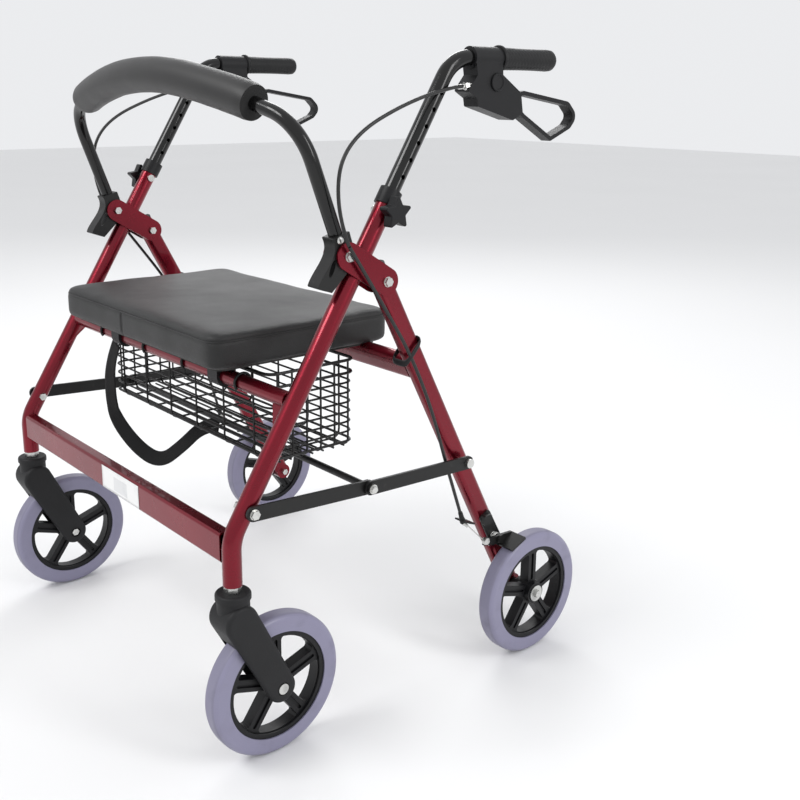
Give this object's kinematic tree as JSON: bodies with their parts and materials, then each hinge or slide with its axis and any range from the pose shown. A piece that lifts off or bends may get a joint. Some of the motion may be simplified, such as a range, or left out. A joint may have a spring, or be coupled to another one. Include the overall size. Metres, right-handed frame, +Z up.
{
  "type": "four-wheeled walker",
  "caption": "Folding heavy-duty walker on wheels: steel tube frame, padded flip-up seat, backrest bar, wire basket, height-adjustable handles and loop brakes.",
  "frame": {"origin": "on the floor, midway between the front and rear axles and between the two sides", "axes": "+Z up, the walker rolls towards -Y, +X is the user's left"},
  "size_m": [0.782, 0.661, 0.937],
  "materials": {
    "red_paint": "gloss metallic powder coat",
    "black_gloss": "gloss powder coat",
    "black_steel": "satin powder coat",
    "zinc": "zinc plated",
    "bearing_steel": "ground",
    "black_plastic": "moulded, fine texture",
    "fork_plastic": "glass-filled nylon",
    "rim_plastic": "moulded",
    "tyre": "soft grey polyurethane",
    "grip_rubber": "moulded texture",
    "seat_vinyl": "charcoal leatherette",
    "foam": "closed-cell foam",
    "board": "plywood",
    "basket_wire": "gloss dipped wire",
    "webbing": "woven polyester",
    "cable_black": "extruded PVC"
  },
  "bodies": {
    "front_frame": {"front_leg_left": "red_paint", "front_leg_right": "red_paint", "seat_crossbar": "red_paint", "lower_crossbar": "red_paint", "crossbar_gussets": "red_paint", "hinge_plates": "red_paint", "leg_collars": "black_plastic", "caster_stems": "zinc", "pivot_bolts": "zinc", "basket": "basket_wire", "fold_strap": "webbing", "cable_upper_left": "cable_black", "cable_upper_right": "cable_black"},
    "rear_frame": {"rear_leg_left": "red_paint", "rear_leg_right": "red_paint", "rear_crossbar": "red_paint", "leg_caps": "black_plastic", "axle_bolts": "zinc", "axle_spacers": "black_plastic", "brake_brackets": "black_steel", "cable_lower_left": "cable_black", "cable_lower_right": "cable_black"},
    "brace_front": {"front_links": "black_steel", "brace_rod": "black_steel"},
    "brace_rear": {"rear_links": "black_steel"},
    "seat": {"seat_board": "board", "seat_cushion": "seat_vinyl", "seat_clips": "black_plastic"},
    "backrest": {"backrest_tube": "black_gloss", "backrest_pad": "foam", "back_brackets": "black_steel"},
    "handle_left": {"handle_tube_left": "black_gloss", "grip_left": "grip_rubber", "lever_housing_left": "black_plastic"},
    "lever_left": {"brake_lever_left": "black_plastic"},
    "arm_left": {"brake_arm_left": "black_steel"},
    "knob_left": {"star_knob_left": "black_plastic"},
    "rear_wheel_left": {"rear_tyre_left": "tyre", "rear_rim_left": "rim_plastic", "rear_bearings_left": "bearing_steel"},
    "caster_left": {"caster_fork_left": "fork_plastic", "caster_axle_left": "zinc"},
    "caster_wheel_left": {"caster_tyre_left": "tyre", "caster_rim_left": "rim_plastic", "caster_bearings_left": "bearing_steel"},
    "handle_right": {"handle_tube_right": "black_gloss", "grip_right": "grip_rubber", "lever_housing_right": "black_plastic"},
    "lever_right": {"brake_lever_right": "black_plastic"},
    "arm_right": {"brake_arm_right": "black_steel"},
    "knob_right": {"star_knob_right": "black_plastic"},
    "rear_wheel_right": {"rear_tyre_right": "tyre", "rear_rim_right": "rim_plastic", "rear_bearings_right": "bearing_steel"},
    "caster_right": {"caster_fork_right": "fork_plastic", "caster_axle_right": "zinc"},
    "caster_wheel_right": {"caster_tyre_right": "tyre", "caster_rim_right": "rim_plastic", "caster_bearings_right": "bearing_steel"}
  },
  "joints": [
    {"name": "fold", "type": "hinge", "parent": "front_frame", "child": "rear_frame", "pos_m": [0, -0.04653, 0.62724], "axis": [-1, 0, 0], "range_deg": [0, 34], "deforming": ["basket", "fold_strap", "cable_lower_left", "cable_lower_right"]},
    {"name": "brace_front_fold", "type": "hinge", "parent": "front_frame", "child": "brace_front", "pos_m": [0, -0.26696, 0.35788], "axis": [1, 0, 0], "range_deg": [0, 46.13]},
    {"name": "brace_rear_fold", "type": "hinge", "parent": "rear_frame", "child": "brace_rear", "pos_m": [0, 0.1044, 0.34], "axis": [-1, 0, 0], "range_deg": [0, 38.79]},
    {"name": "seat_flip", "type": "hinge", "parent": "front_frame", "child": "seat", "pos_m": [0, -0.18906, 0.484], "axis": [1, 0, 0], "range_deg": [0, 80]},
    {"name": "backrest_tilt", "type": "hinge", "parent": "front_frame", "child": "backrest", "pos_m": [0, -0.11077, 0.66691], "axis": [-1, 0, 0], "range_deg": [0, 36]},
    {"name": "handle_height_left", "type": "slide", "parent": "front_frame", "child": "handle_left", "axis": [0, 0.5255, 0.8508], "range_m": [-0.127, 0.0508], "deforming": ["cable_upper_left"]},
    {"name": "brake_squeeze_left", "type": "hinge", "parent": "handle_left", "child": "lever_left", "pos_m": [0.326, 0.191, 0.861], "axis": [1, 0, 0], "range_deg": [0, 13]},
    {"name": "brake_arm_turn_left", "type": "hinge", "parent": "rear_frame", "child": "arm_left", "pos_m": [0.3505, 0.17663, 0.19822], "axis": [-1, 0, 0], "range_deg": [0, 1.3]},
    {"name": "knob_turn_left", "type": "hinge", "parent": "front_frame", "child": "knob_left", "pos_m": [0.35, -0.04363, 0.71948], "axis": [1, 0, 0], "continuous": true},
    {"name": "rear_wheel_spin_left", "type": "hinge", "parent": "rear_frame", "child": "rear_wheel_left", "pos_m": [0.367, 0.2305, 0.1], "axis": [1, 0, 0], "continuous": true},
    {"name": "caster_swivel_left", "type": "hinge", "parent": "front_frame", "child": "caster_left", "pos_m": [0.326, -0.2885, 0.23], "axis": [0, 0, 1], "continuous": true},
    {"name": "caster_wheel_spin_left", "type": "hinge", "parent": "caster_left", "child": "caster_wheel_left", "pos_m": [0.326, -0.2305, 0.1], "axis": [1, 0, 0], "continuous": true},
    {"name": "handle_height_right", "type": "slide", "parent": "front_frame", "child": "handle_right", "axis": [0, 0.5255, 0.8508], "range_m": [-0.127, 0.0508], "deforming": ["cable_upper_right"]},
    {"name": "brake_squeeze_right", "type": "hinge", "parent": "handle_right", "child": "lever_right", "pos_m": [-0.326, 0.191, 0.861], "axis": [1, 0, 0], "range_deg": [0, 13]},
    {"name": "brake_arm_turn_right", "type": "hinge", "parent": "rear_frame", "child": "arm_right", "pos_m": [-0.3505, 0.17663, 0.19822], "axis": [-1, 0, 0], "range_deg": [0, 1.3]},
    {"name": "knob_turn_right", "type": "hinge", "parent": "front_frame", "child": "knob_right", "pos_m": [-0.35, -0.04363, 0.71948], "axis": [1, 0, 0], "continuous": true},
    {"name": "rear_wheel_spin_right", "type": "hinge", "parent": "rear_frame", "child": "rear_wheel_right", "pos_m": [-0.367, 0.2305, 0.1], "axis": [1, 0, 0], "continuous": true},
    {"name": "caster_swivel_right", "type": "hinge", "parent": "front_frame", "child": "caster_right", "pos_m": [-0.326, -0.2885, 0.23], "axis": [0, 0, 1], "continuous": true},
    {"name": "caster_wheel_spin_right", "type": "hinge", "parent": "caster_right", "child": "caster_wheel_right", "pos_m": [-0.326, -0.2305, 0.1], "axis": [1, 0, 0], "continuous": true}
  ],
  "couplings": [
    {"joint": "brace_front_fold", "follows": "fold", "ratio": 1.3563},
    {"joint": "brace_rear_fold", "follows": "fold", "ratio": 1.1407},
    {"joint": "brake_arm_turn_left", "follows": "brake_squeeze_left", "ratio": 0.08},
    {"joint": "brake_arm_turn_right", "follows": "brake_squeeze_right", "ratio": 0.08}
  ]
}
